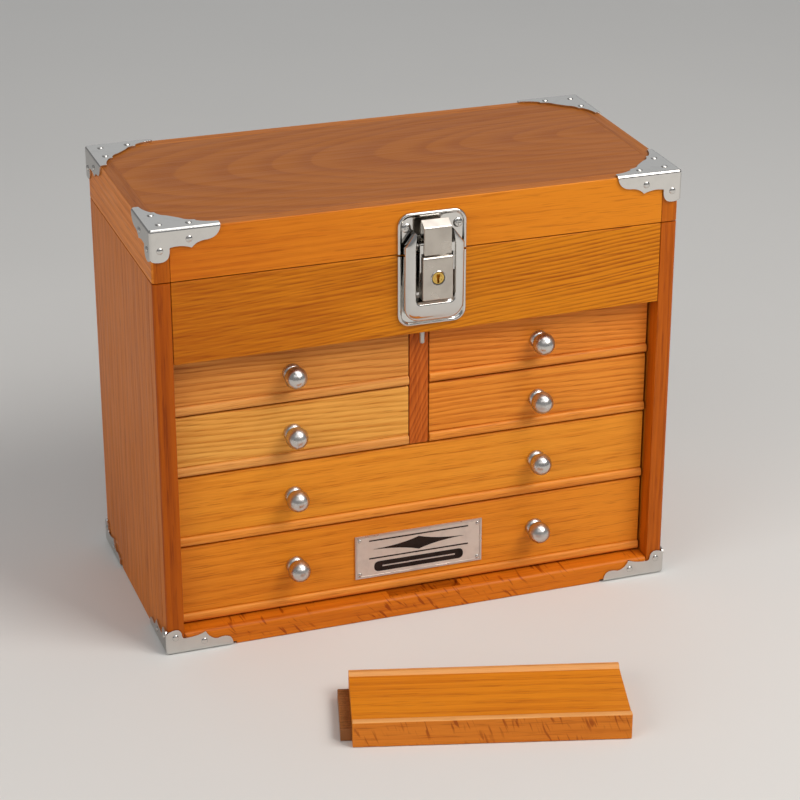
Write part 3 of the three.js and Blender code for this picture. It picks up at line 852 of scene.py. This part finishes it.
def knob(node, body):
    """A turned ball knob: a domed flange, a waisted neck and a ball."""
    low, high = box_mm(node)
    centre = (low + high) / 2
    ball = (high.x - low.x) / 2
    reach = high.y - low.y - ball
    neck = 2.8
    profile = [(0, 0), (5.8, 0), (6.0, 0.35), (5.95, 0.9), (5.7, 1.6), (5.2, 2.35)]
    profile += [(4.5, 2.95), (3.7, 3.35), (3.1, 3.5), (neck, 3.6)]
    first = math.pi - math.asin(neck / ball)
    steps = 16
    for i in range(steps + 1):
        angle = first * (1 - i / steps)
        profile.append((ball * math.sin(angle), reach + ball * math.cos(angle)))
    profile[-1] = (0, reach + ball)
    shape = turned(profile, towards(FRONTWARD, (centre.x, high.y, centre.z)), 40)
    piece(f"{node}_piece", shape, KNOB_NICKEL, body, node, sharp=50)


def build_drawers():
    for name, knobs in DRAWERS.items():
        drawer_front(name)
        drawer_tray(name)
        for suffix in knobs:
            knob(f"{name}_knob{suffix}", name)


def build_nameplate():
    """A cast plate with a raised rim and four pins, inlaid with a plain dark lozenge between
    two rules, over a plain dark bar with round ends."""
    low, high = box_mm("nameplate")
    centre = (low + high) / 2
    half = (high - low) / 2
    rim = 1.6
    back = high.y - 0.5
    field_y = high.y - 0.8
    plate = board((low.x, field_y, low.z), high, 0.25)
    piece("nameplate_field", plate, PEWTER, "bottom_drawer", "nameplate")
    rims = []
    for sign in (-1, 1):
        outer, inner = sign * half.x, sign * (half.x - rim)
        xs = sorted((centre.x + outer, centre.x + inner))
        rims.append(board((xs[0], low.y, low.z), (xs[1], back, high.z), 0.3))
        outer, inner = sign * half.z, sign * (half.z - rim)
        zs = sorted((centre.z + outer, centre.z + inner))
        rims.append(board((low.x + rim, low.y, zs[0]), (high.x - rim, back, zs[1]), 0.3))
    piece("nameplate_rim", joined(*rims), PEWTER_RIM, "bottom_drawer", "nameplate")

    inlay_y = field_y - 0.12
    rule_half, lozenge_half, bar_half, line_half = 34, 31, 27, 25
    inlays = []
    for z in (-1.6, 11.2):
        rule_low = (centre.x - rule_half, inlay_y, centre.z + z - 0.45)
        rule_high = (centre.x + rule_half, back, centre.z + z + 0.45)
        inlays.append(box(rule_low, rule_high))
    x, z = centre.x, centre.z + 4.8
    tall, waist, flare = 4.6, 12, 0.6
    lozenge = path(
        (x - lozenge_half, z),
        ((x - waist, z + flare), (x, z + tall)),
        ((x + waist, z + flare), (x + lozenge_half, z)),
        ((x + waist, z - flare), (x, z - tall)),
        ((x - waist, z - flare), (x - lozenge_half, z)),
    )[:-1]
    inlays.append(extrusion(lozenge, "Y", inlay_y, back))
    z = centre.z - 7.9
    end = 3.6
    left, right = x - bar_half, x + bar_half
    bar = path(
        (left, z - end),
        (right, z - end),
        ((right + end, z - end), (right + end, z)),
        ((right + end, z + end), (right, z + end)),
        (left, z + end),
        ((left - end, z + end), (left - end, z)),
        ((left - end, z - end), (left, z - end)),
    )[:-1]
    inlays.append(extrusion(bar, "Y", inlay_y, back))
    piece("nameplate_inlay", joined(*inlays), ENAMEL_DARK, "bottom_drawer", "nameplate")
    line_low = (x - line_half, inlay_y - 0.1, z - 0.5)
    groove = board(line_low, (x + line_half, back, z + 0.5), 0.15)
    piece("nameplate_bar_line", groove, PEWTER_RIM, "bottom_drawer", "nameplate")

    pins = []
    for sx in (-1, 1):
        for sz in (-1, 1):
            at = (centre.x + sx * 40.4, field_y - 0.05, centre.z + sz * 12.2)
            pins.append(dome(1.3, 0.7, towards(FRONTWARD, at)))
    piece("nameplate_pins", joined(*pins), NICKEL, "bottom_drawer", "nameplate")


# ---- corner brackets

SHEET = 1.2
SHEET_ROUND = 2.0
SHEET_GAP = 0.1  # left outside the wood, and taken off the inside of the sheet as well
BRACKET_REACH = 43.6
NAIL_ROUND = 2.1
NAIL_LIFT = 0.9
# Nails, as distances along the edge and away from it.
LID_EDGE_NAILS = ((24.3, 7.6), (6.4, 13.4))
LID_TOP_NAILS = ((7.7, 26.2), (8.4, 9.2), (26.2, 7.7))
BASE_EDGE_NAILS = ((24.8, 6.4), (6.2, 11.6))


def lid_edge_plate():
    """Outline of an upright plate: distance along the edge, and away from it."""
    return path(
        (0, 0),
        (BRACKET_REACH, 0),
        (BRACKET_REACH, 1.4),
        ((42.6, 8.4), (35.5, 9.2)),
        ((29, 9.2), (25.9, 13.2)),
        ((19, 10.4), (12.4, 12)),
        (12.3, 14.6),
        ((12, 20.6), (6.4, 20.6)),
        ((2, 20.6), (0, 18.7)),
    )


def base_edge_plate():
    """The same for the foot, where the plate is cut lower."""
    return path(
        (0, 0),
        (BRACKET_REACH, 0),
        (BRACKET_REACH, 1.6),
        ((43.2, 7.3), (38.4, 7.5)),
        ((35.2, 7.5), (33.6, 6.8)),
        ((28.6, 7), (25.8, 13)),
        ((19.6, 10.2), (11.8, 10.5)),
        ((10.6, 11), (10.4, 12.2)),
        ((10.2, 17.2), (6.2, 17.2)),
        ((2.2, 17.2), (0, 14)),
    )


def flat_plate():
    """Outline of the plate that lies on the top, scalloped across the corner."""
    half = path(
        (BRACKET_REACH, 4.6),
        ((36, 5.6), (31.2, 9.4)),
        (31.0, 11.2),
        ((25.5, 12), (23.6, 16.2)),
        (22.6, 17.4),
    )
    other_half = [(y, x) for x, y in reversed(half)]
    return [(0, 0), (BRACKET_REACH, 0), *half, *other_half, (0, BRACKET_REACH)]


def bracket_sheet(edge_outline, nails_on_edge, nails_on_flat):
    """A three-way corner bracket, pressed from sheet, for the corner of a box that fills the
    positive octant. Its outer faces lie on the three planes through the origin."""
    planes = (
        (edge_outline, lambda s, t: (s, 0, t)),
        (edge_outline, lambda s, t: (0, s, t)),
        (flat_plate(), lambda s, t: (s, t, 0)),
    )
    bm = bmesh.new()
    for outline, place in planes:
        bm.faces.new([bm.verts.new(place(s, t)) for s, t in outline])
    folds = 5
    for axis in range(3):
        normal = Vector([1 if k == axis else 0 for k in range(3)])
        for i in range(1, folds + 1):
            bmesh.ops.bisect_plane(
                bm,
                geom=bm.verts[:] + bm.edges[:] + bm.faces[:],
                plane_co=normal * SHEET_ROUND * i / folds,
                plane_no=normal,
            )
    bmesh.ops.remove_doubles(bm, verts=bm.verts, dist=1e-3)

    outer = bm.verts[:]
    rims = [edge for edge in bm.edges if edge.is_boundary]
    twins = bmesh.ops.duplicate(bm, geom=bm.verts[:] + bm.edges[:] + bm.faces[:])["vert_map"]
    for edge in rims:
        a, b = edge.verts
        bm.faces.new((a, b, twins[b], twins[a]))
    for vertex in outer:
        core = Vector([max(c, SHEET_ROUND) for c in vertex.co])
        away = (vertex.co - core).normalized()
        vertex.co = core + away * SHEET_ROUND
        twins[vertex].co = core + away * (SHEET_ROUND - SHEET + SHEET_GAP)
    bmesh.ops.recalc_face_normals(bm, faces=bm.faces)

    made = object_from(bm, "bracket")
    edge = made.modifiers.new("edge", "BEVEL")
    edge.limit_method = "ANGLE"
    edge.angle_limit = math.radians(55)
    edge.width = 0.5
    edge.segments = 3
    shape = evaluated(made)
    nails = []
    for s, t in nails_on_edge:
        nails.append(dome(NAIL_ROUND, NAIL_LIFT, towards((0, -1, 0), (s, 0.02, t))))
        nails.append(dome(NAIL_ROUND, NAIL_LIFT, towards((-1, 0, 0), (0.02, s, t))))
    for s, t in nails_on_flat:
        nails.append(dome(NAIL_ROUND, NAIL_LIFT, towards((0, 0, -1), (s, t, 0.02))))
    return joined(shape, *nails)


def build_brackets():
    levels = (
        ("lid", "lid", lid_edge_plate(), LID_EDGE_NAILS, LID_TOP_NAILS),
        ("base", "case", base_edge_plate(), BASE_EDGE_NAILS, ()),
    )
    for level, body, *plates in levels:
        master = bracket_sheet(*plates)
        at_base = level == "base"
        corner_z = 0 if at_base else LID_HIGH.z + SHEET_GAP + SHEET
        for end in ("front", "rear"):
            for side in ("left", "right"):
                node = f"{level}_bracket_{end}_{side}"
                sx = 1 if side == "left" else -1
                sy = 1 if end == "front" else -1
                sz = 1 if at_base else -1
                reach_x = SIDE_X + SHEET_GAP + SHEET
                reach_y = abs(FRONT_Y) + SHEET_GAP + SHEET
                corner = (-sx * reach_x, -sy * reach_y, corner_z)
                copy = master.copy()
                copy.transform(Matrix.Translation(corner) @ Matrix.Diagonal((sx, sy, sz, 1)))
                if sx * sy * sz < 0:
                    bmesh.ops.reverse_faces(copy, faces=copy.faces)
                piece(f"{node}_piece", copy, NICKEL, body, node)


# ---- hinge


def build_hinge():
    low, high = box_mm("hinge_pin")
    centre = (low + high) / 2
    rod_round = (high.z - low.z) / 2
    pin = [(0, 0), (rod_round * 0.7, 0), (rod_round, 0.35)]
    length = high.x - low.x
    pin += [(rod_round, length - 0.35), (rod_round * 0.7, length), (0, length)]
    shape = turned(pin, towards((1, 0, 0), (low.x, centre.y, centre.z)), 20)
    piece("hinge_pin_piece", shape, STEEL, "case", "hinge_pin")

    barrel = 2.2
    bore = rod_round + 0.15
    leaf_thick = 0.8
    leaf_back_y = 84  # the case's back face, where the leaves end and the knuckles begin
    knuckles = 15
    pitch = length / knuckles
    for node, body, first in (("hinge_leaf_case", "case", 0), ("hinge_leaf_lid", "lid", 1)):
        low, high = box_mm(node)
        above = node == "hinge_leaf_lid"
        leaf_low = centre.z + 0.3 if above else centre.z - 1.1
        leaf_high = leaf_low + leaf_thick
        parts = [board((low.x, low.y, leaf_low), (high.x, leaf_back_y, leaf_high), 0.2)]
        for i in range(first, knuckles, 2):
            x0 = low.x + i * pitch + 0.15
            wide = pitch - 0.3
            section = [(bore, 0), (barrel - 0.25, 0), (barrel, 0.25), (barrel, wide - 0.25)]
            section += [(barrel - 0.25, wide), (bore, wide)]
            parts.append(tube(section, towards((1, 0, 0), (x0, centre.y, centre.z)), 28))
            web_low = (x0, leaf_back_y - 0.1, leaf_low + 0.02)
            parts.append(box(web_low, (x0 + wide, centre.y - bore, leaf_high - 0.02)))
        piece(f"{node}_piece", joined(*parts), NICKEL, body, node)


# ---- latch

PLATE_LOW, PLATE_HIGH = box_mm("latch_base_plate")
LATCH_X = (PLATE_LOW.x + PLATE_HIGH.x) / 2
PLATE_BACK_Y = PLATE_HIGH.y


def latch_plate(seam, far, half, radius):
    """A stamped plate with a raised bead round three sides; the side at the seam is straight."""
    way = 1 if far > seam else -1
    section = ((0, 0), (0, 0.9), (0.25, 1.6), (0.8, 2), (1.4, 2.05), (2.1, 1.7), (2.6, 1.15), (3.1, 1))
    rings = []
    for inset, lift in section:
        r = radius - inset
        ring = [(-half + inset, seam)]
        for side in (-1, 1):
            for i in range(7):
                angle = math.pi / 2 * i / 6
                turn = angle if side < 0 else math.pi / 2 - angle
                x = side * (half - radius) + side * r * math.cos(turn)
                z = far - way * radius + way * r * math.sin(turn)
                ring.append((x, z))
        ring.append((half - inset, seam))
        rings.append([(LATCH_X + x, PLATE_BACK_Y - lift, z) for x, z in ring])
    return loft(rings)


def screw(x, z, y):
    """A small cross-head screw, seen from the front."""
    head = [(0, -0.6), (3.1, -0.6), (3.1, 0.1), (2.9, 0.45), (2.2, 0.85), (1.2, 1.05), (0, 1.1)]
    place = towards(FRONTWARD, (x, y, z))
    shape = turned(head, place, 28)
    slots = []
    for wide, tall in ((3.6, 0.55), (0.55, 3.6)):
        slot_low = (x - wide / 2, y - 2, z - tall / 2)
        slots.append(box(slot_low, (x + wide / 2, y - 0.35, z + tall / 2)))
    return carved(shape, *slots)


def build_latch_plates():
    low, high = box_mm("latch_catch_plate")
    half = (high.x - low.x) / 2
    upper = latch_plate(low.z, high.z, half, 8)
    nose_half = 6.4
    nose_back = PLATE_BACK_Y - 0.9
    nose_low, nose_high = 258.5, 269
    outline = path(
        (nose_back, nose_low),
        ((low.y, nose_low + 1), (low.y, nose_low + 4.5)),
        (low.y, nose_high - 2.4),
        ((low.y, nose_high - 0.2), (nose_back, nose_high)),
    )
    nose = extrusion(outline, "X", LATCH_X - nose_half, LATCH_X + nose_half)
    soften(nose, 0.4, 2)
    screws = [screw(LATCH_X + side * 16.6, 267, PLATE_BACK_Y - 1.0) for side in (-1, 1)]
    piece("latch_catch_piece", upper, NICKEL, "lid", "latch_catch_plate")
    piece("latch_catch_nose", nose, NICKEL, "lid", "latch_catch_plate")
    piece("latch_catch_screws", joined(*screws), NICKEL, "lid", "latch_catch_plate")
    low, high = box_mm("latch_base_plate")
    lower = latch_plate(high.z, low.z, half, 8)
    piece("latch_base_piece", lower, NICKEL, "case", "latch_base_plate")


# Section of the shroud from its outer foot (0) to the edge of the well (1), and its lift.
SHROUD_OUTER = ((0, 0), (0, 0.52), (0.015, 0.6), (0.05, 0.68), (0.12, 0.765), (0.22, 0.84))
SHROUD_CREST = ((0.36, 0.905), (0.52, 0.95), (0.68, 0.98), (0.78, 1), (0.83, 0.99))
SHROUD_INNER = ((0.88, 0.93), (0.94, 0.8), (1, 0.66), (1, 0))
SHROUD_SECTION = SHROUD_OUTER + SHROUD_CREST + SHROUD_INNER


def shroud_edge(half, low, radius, top, shoulder, steps=8):
    """The U-shaped line round the shroud, from its upper left end to its upper right end."""
    points = [(-half + shoulder, top), (-half, top - 9), (-half, low + radius + 12)]
    for i in range(steps + 1):
        angle = math.pi / 2 * i / steps
        points.append((-half + radius * (1 - math.cos(angle)), low + radius * (1 - math.sin(angle))))
    mirrored = [(-x, z) for x, z in reversed(points)]
    return points + mirrored


def build_shroud():
    low, high = box_mm("latch_shroud")
    half = (high.x - low.x) / 2
    well = 11.75
    well_low = 220.5
    upper_part_z = 248  # above it the foot starts further forward
    lift = PLATE_BACK_Y - low.y
    outer = shroud_edge(half, low.z, 10, high.z, half - well - 0.8)
    inner = shroud_edge(well, well_low, 2.2, high.z - 0.6, 0)
    rings = []
    for i, ((ox, oz), (ix, iz)) in enumerate(zip(outer, inner)):
        end = i in (0, len(outer) - 1)
        rise = 0.8 if end else 1.0
        foot = 3.0 if oz > upper_part_z else 1.2
        ring = []
        for share, height in SHROUD_SECTION:
            y = PLATE_BACK_Y - foot - (lift - foot) * height * rise
            ring.append((LATCH_X + ox + (ix - ox) * share, y, oz + (iz - oz) * share))
        rings.append(ring)
    piece("latch_shroud_piece", loft(rings), NICKEL, "case", "latch_shroud", sharp=55)


def build_lever():
    low, high = box_mm("latch_lever")
    key = middle_mm("lock_cylinder")
    top = high.z - 0.2
    outline = path(
        (high.y, low.z + 1),
        (high.y, top - 3.2),
        ((high.y, top), (high.y - 3.4, top)),
        (low.y + 2.4, top),
        ((low.y, top), (low.y, top - 2.2)),
        (low.y, low.z + 1.0),
        ((low.y, low.z), (low.y + 1.0, low.z)),
        (high.y - 1, low.z),
    )
    body = extrusion(outline, "X", low.x, high.x)
    soften(body, 0.7, 3, at_ends(low.x, high.x))
    bore = turned([(4.25, -2), (4.25, 12)], towards(FRONTWARD, (key.x, high.y, key.z)), 40)
    lever = carved(body, bore)
    piece("latch_lever_piece", lever, NICKEL_SATIN, "latch_lever", "latch_lever")
    section = [(4.2, 0), (4.75, 0), (4.75, 0.25), (4.5, 0.45), (4.2, 0.3)]
    collar = tube(section, towards(FRONTWARD, (key.x, low.y, key.z)), 40)
    piece("latch_lever_collar", collar, NICKEL, "latch_lever", "latch_lever")

    plug = turned(
        [(0, 0), (3.9, 0), (3.9, 5.2), (3.7, 5.5), (2.6, 5.5), (2.3, 5.2), (0, 5.2)],
        towards(FRONTWARD, (key.x, low.y + 5.4, key.z)),
        40,
    )
    slot = box((key.x - 0.75, low.y - 2, key.z - 3.2), (key.x + 0.75, low.y + 4, key.z + 1.6))
    round_at = towards(FRONTWARD, (key.x, low.y + 3, key.z + 1.1))
    plug = carved(plug, slot, turned([(1.35, -1), (1.35, 4)], round_at, 24))
    piece("lock_plug", plug, BRASS, "lock_cylinder", "lock_cylinder")


def build_hook():
    low, high = box_mm("latch_hook")
    sheet = 1.5
    half = 8.9
    foot = 251.8
    claw_y = -89.9
    links_back_y = -91.3
    top = high.z
    outline = path(
        (low.y, foot),
        (low.y, top - 4.6),
        ((low.y, top - 3.3), (low.y + 1.3, top - 2.7)),
        (claw_y, top),
        (claw_y + 0.4, top - 0.4),
        (claw_y + 0.4, top - 1.5),
        (low.y + 2.4, top - 3.9),
        ((low.y + sheet, top - 4.4), (low.y + sheet, top - 5.2)),
        (low.y + sheet, foot),
    )
    strap = extrusion(outline, "X", LATCH_X - half, LATCH_X + half)
    soften(strap, 0.45, 2)
    bridge_low = (low.x + 0.1, low.y + sheet - 0.3, foot + 1)
    bridge = box(bridge_low, (high.x - 0.1, low.y + sheet + 1.1, foot + 6.5))
    arms = []
    for side in (-1, 1):
        xs = sorted((LATCH_X + side * 10.25, LATCH_X + side * 11.25))
        arm_high = (xs[1], min(high.y, links_back_y), foot + 6.6)
        arms.append(board((xs[0], low.y + sheet - 0.2, low.z), arm_high, 0.3))
    piece("latch_strap", strap, NICKEL_SATIN, "latch_hook", "latch_hook")
    piece("latch_links", joined(bridge, *arms), NICKEL, "latch_hook", "latch_hook")


def build_pin():
    low, high = box_mm("lock_pin")
    centre = (low + high) / 2
    radius = (high.x - low.x) / 2
    length = high.z - low.z
    profile = [(0, 0), (radius - 0.7, 0.1), (radius, 0.9)]
    profile += [(radius, length - 0.3), (radius - 0.3, length), (0, length)]
    shape = turned(profile, Matrix.Translation((centre.x, centre.y, low.z)), 24)
    piece("lock_pin_piece", shape, STEEL, "lock_pin", "lock_pin")


# ---- locking bar

BAR_TURN = math.radians(-15.8)
BAR_CORNER = Vector((-94.4, -226.2, 0))
BAR_SIZE = Vector((166, 62, 17))
BAR_LIP = 4
BAR_HOLLOW = 1.7


def build_bar():
    """It is made in its own axes, length along X, and then turned to lie as it does."""
    length, width, thick = BAR_SIZE
    outline = path(
        (0.5, 0),
        (width - 0.5, 0),
        ((width, 0), (width, 0.5)),
        (width, thick - 1.2),
        ((width, thick), (width - 1.2, thick)),
        (width - BAR_LIP + 1, thick),
        ((width - BAR_LIP - 0.5, thick), (width - BAR_LIP - 2, thick - BAR_HOLLOW)),
        (BAR_LIP + 2, thick - BAR_HOLLOW),
        ((BAR_LIP + 0.5, thick), (BAR_LIP - 1, thick)),
        (1.2, thick),
        ((0, thick), (0, thick - 1.2)),
        (0, 0.5),
        ((0, 0), (0.5, 0)),
        steps=4,
    )[:-1]
    slab = extrusion(outline, "X", 0, length)
    soften(slab, 0.4, 2, at_ends(0, length))
    tongue = board((-7, 7.5, 0), (1, width - 7.5, 8), 0.4)
    place = Matrix.Translation(BAR_CORNER * MM) @ Matrix.Rotation(BAR_TURN, 4, "Z")
    slab = piece("lock_bar_piece", slab, OAK["bar"], "lock_bar", "lock_bar", place=place)
    refaced(slab, OAK["bar_flecked"], lambda middle, normal: normal.y < -0.8)
    # The tops of both lips get the paler copy: a painted highlight along the lips.
    refaced(slab, OAK["bar_lip_highlight"], lambda middle, normal: middle.z > thick - 1.4 and normal.z > 0.2)
    piece("lock_bar_tongue", tongue, OAK["bar_end"], "lock_bar", "lock_bar", place=place)


# ---- stage


def add_light(name, location, target, size, energy, colour):
    """A softbox that faces its target."""
    data = bpy.data.lights.new(name, "AREA")
    data.shape = "RECTANGLE"
    data.size, data.size_y = size
    data.energy = energy
    data.color = colour
    lamp = bpy.data.objects.new(name, data)
    bpy.context.scene.collection.objects.link(lamp)
    lamp.location = location
    lamp.rotation_euler = (Vector(location) - Vector(target)).to_track_quat("Z", "Y").to_euler()
    return lamp


# The floor, in metres.
FLOOR_HALF = 8
FLOOR_Z = -0.0003
FLOOR_COLOUR = (0.74, 0.73, 0.71)


def add_floor():
    bm = bmesh.new()
    signs = ((-1, -1), (1, -1), (1, 1), (-1, 1))
    bm.faces.new([bm.verts.new((x * FLOOR_HALF, y * FLOOR_HALF, FLOOR_Z)) for x, y in signs])
    ground = object_from(bm, "floor")
    net = Net("floor")
    mottle = net.noise(net.object_mm(), scale=0.004, detail=3)
    darker = tuple(0.96 * c for c in FLOOR_COLOUR)
    net.set(
        Base_Color=net.mix(mottle, (*darker, 1), (*FLOOR_COLOUR, 1)),
        Roughness=0.7,
        Specular_IOR_Level=0.05,
    )
    ground.data.materials.append(net.material)


def add_stage():
    add_floor()
    white = (1, 1, 1)
    add_light("key", (0.82, -1.0, 1.5), (0, 0, 0.12), (0.95, 0.95), 22.5, (1, 0.97, 0.93))
    fill = add_light("fill", (-1.7, -0.9, 0.9), (0, 0, 0.12), (1.4, 1.2), 14, (1, 0.97, 0.94))
    fill.visible_glossy = False
    add_light("front", (-0.3, -2.2, 2.3), (0, 0, 0.2), (3.0, 1.2), 9.5, white)
    add_light("back", (0.6, 2.6, 1.5), (0, 0, 0.2), (3.6, 2.2), 10, (0.95, 0.98, 1))
    overhead = add_light("overhead", (0.25, 0, 1.75), (0, 0, 0.2), (1.5, 1.1), 10, white)
    overhead.visible_diffuse = False

    world = bpy.data.worlds.new("studio")
    world.use_nodes = True
    background = world.node_tree.nodes["Background"]
    background.inputs["Color"].default_value = (0.94, 0.95, 0.97, 1)
    background.inputs["Strength"].default_value = 0.27
    bpy.context.scene.world = world
    bpy.context.scene.view_settings.view_transform = "Standard"


add_camera()
build_sides()
build_base()
build_panels()
build_lid()
build_drawers()
build_nameplate()
build_brackets()
build_hinge()
build_latch_plates()
build_shroud()
build_lever()
build_hook()
build_pin()
build_bar()
add_stage()
